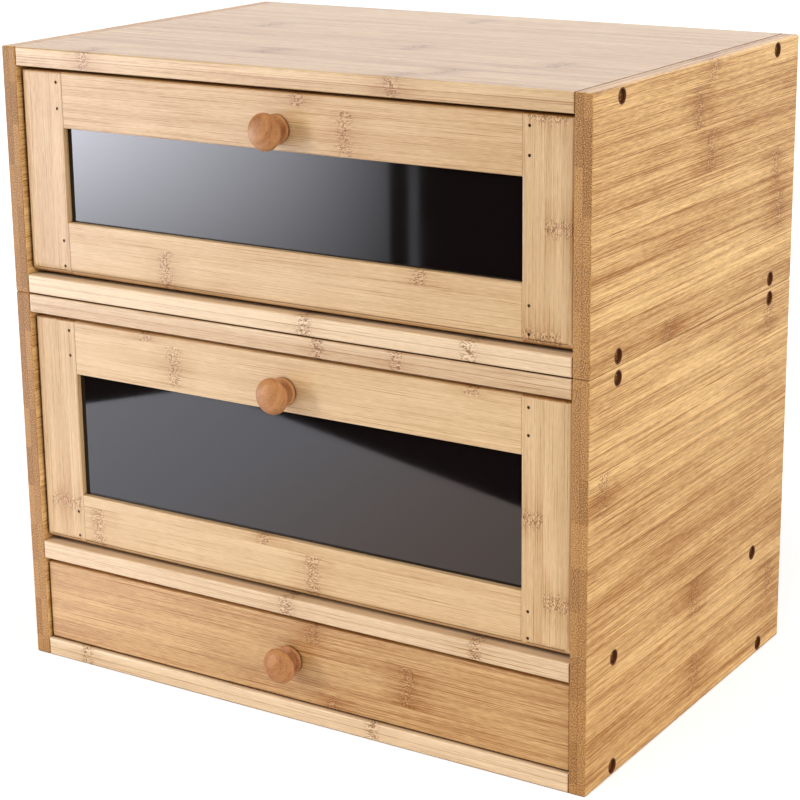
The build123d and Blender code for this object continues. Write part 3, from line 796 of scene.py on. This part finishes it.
# painted reflections for the panes and the wood's gloss, in metres: cards that only reflections see,
# glowing where they stand for a lit table top and a bright screen on the left, and black where they stand
# for the dark room past the table's edge
cards = {
    "skim": 0.002,       # how far one level card lies above the next
    "foot": 0.004,       # where the upright ones begin
    "darkFloorReflection": [(-2.5, -1.6), (1.2, -1.6), (1.2, -0.2), (-2.5, -0.2)],
    "table": [(-0.9, -0.2), (-0.9, -0.25), (-0.502, -0.525), (-0.455, -0.599), (-0.398, -0.599),
              (-0.062, -0.486), (0.6, -0.32), (0.6, -0.2)],
    "tableGlow": (1.72, -3.6),              # in the middle, and per metre to the right
    "tableWarm": (-0.34, -0.04),            # x, from cool to warm
    "nearTableReflection": [(-1.2, -0.132), (-1.2, -0.31), (0.06, -0.31), (0.06, -0.132)],
    "nearGlow": (1.4, -13.0),
    "sideTableReflection": [(-2.4, -0.15), (-2.4, -1.1), (-1.0, -1.1), (-1.0, -0.15)], "sideGlow": 26.0,
    # upright cards: left, right, top and y
    "darkWallReflection": (-2.5, 1.2, 1.2, -1.01),
    "screen": (-1.03, -0.501, 0.5, -1.0), "screenGlow": 16.5,
    "screenFall": (0.95, 0.5),              # how far left it is still full, and the fall's width
    "screenLift": (0.45, 4.35, 1.15),       # at its foot, per metre up, and at most
    "slit": (-0.478, -0.466, 0.5, -1.0), "slitGlow": 1.2,
    "rear": (-4.5, 0.3, 5.0, 2.6), "rearGlow": 1.6,
    "cool": (0.90, 0.91, 1.0, 1.0), "warm": (1.0, 0.82, 0.75, 1.0),
}


def paintedReflection(name, strength, tint=None):
    # a card that glows only in reflections, a painted reflection; its strength is a value or a function of
    # the place, and tint gives its colour
    material, tree, glow = newMaterial(name, kind="Emission")
    place = separate(tree, objectPlace(tree))
    feed(tree, glow, {
        "Color": tint(tree, place) if tint else cards["cool"],
        "Strength": strength(tree, place) if callable(strength) else strength,
    })
    return material


def screenGlow(tree, place):
    # falls off to the right and towards the floor in straight lines
    edge, width = cards["screenFall"]
    foot, rise, most = cards["screenLift"]
    left = oneMinus(tree, calc(tree, "DIVIDE", calc(tree, "ADD", place[0], edge), width))
    fall = calc(tree, "MINIMUM", calc(tree, "MAXIMUM", left, 0.0), 1.0)
    lift = calc(tree, "MINIMUM", addScaled(tree, foot, place[2], rise), most)
    return calc(tree, "MULTIPLY", calc(tree, "MULTIPLY", fall, lift), cards["screenGlow"])


def tableGlow(tree, place):
    # the painted reflection of the table top is brighter at the left
    middle, slope = cards["tableGlow"]
    return addScaled(tree, middle, place[0], slope)


def nearGlow(tree, place):
    # so is the strip right before the box
    middle, slope = cards["nearGlow"]
    return addScaled(tree, middle, place[0], slope)


def tableTint(tree, place):
    # warmer at the right, painting the wood as the table mirrors it
    return mixColor(tree, smooth(tree, place[0], *cards["tableWarm"]), cards["cool"], cards["warm"])


def upright(name, key, material):
    left, right, top, y = cards[key]
    foot = cards["foot"]
    return staged(name, [(left, y, foot), (right, y, foot), (right, y, top), (left, y, top)], material)


# black cards seen only in reflections: a painted reflection of the dark room
darkReflection = paintedReflection("darkReflection", 0.0)
skim = cards["skim"]
reflected = [
    level("darkFloorReflection", cards["darkFloorReflection"], skim, darkReflection),
    level("tableCard", cards["table"], 2 * skim, paintedReflection("tableReflection", tableGlow, tableTint)),
    level("sideTableReflection", cards["sideTableReflection"], 2 * skim, paintedReflection("sideReflection", cards["sideGlow"])),
    level("nearTableReflection", cards["nearTableReflection"], 3 * skim, paintedReflection("nearTableReflection", nearGlow)),
    upright("darkWallReflection", "darkWallReflection", darkReflection),
    upright("screenCard", "screen", paintedReflection("brightScreen", screenGlow)),
    upright("slitCard", "slit", paintedReflection("slitGlow", cards["slitGlow"])),
    upright("rearCard", "rear", paintedReflection("rearGlow", cards["rearGlow"])),
]
# the cards show only in reflections: the camera doesn't see them, and they light nothing and cast no shadow
for card in reflected:
    card.visible_camera = False
    card.visible_diffuse = False
    card.visible_shadow = False
    card.visible_transmission = False

# degrees, metres, and lens and sensor in mm
camera = {
    "place": (0.6689, -1.0487, 0.5303), "yaw": 32.18, "pitch": -15.33, "roll": -0.574,
    "lens": 97.37, "sensor": 36.0, "shift": (-0.02343, -0.06586), "farthest": 60.0,
}


def rotation(degrees, axis):
    return Matrix.Rotation(math.radians(degrees), 4, axis)


eye = bpy.data.cameras.new("camera")
eye.lens = camera["lens"]
eye.sensor_width = camera["sensor"]
eye.shift_x, eye.shift_y = camera["shift"]
eye.dof.use_dof = False
eye.clip_end = camera["farthest"]
viewer = bpy.data.objects.new("camera", eye)
bpy.context.scene.collection.objects.link(viewer)
heading = rotation(camera["yaw"], "Z")
tilt = rotation(90 + camera["pitch"], "X")
roll = rotation(camera["roll"], "Z")
viewer.matrix_world = Matrix.Translation(camera["place"]) @ heading @ tilt @ roll
bpy.context.scene.camera = viewer
bpy.context.scene.view_settings.view_transform = "Standard"
print("studio: ready")
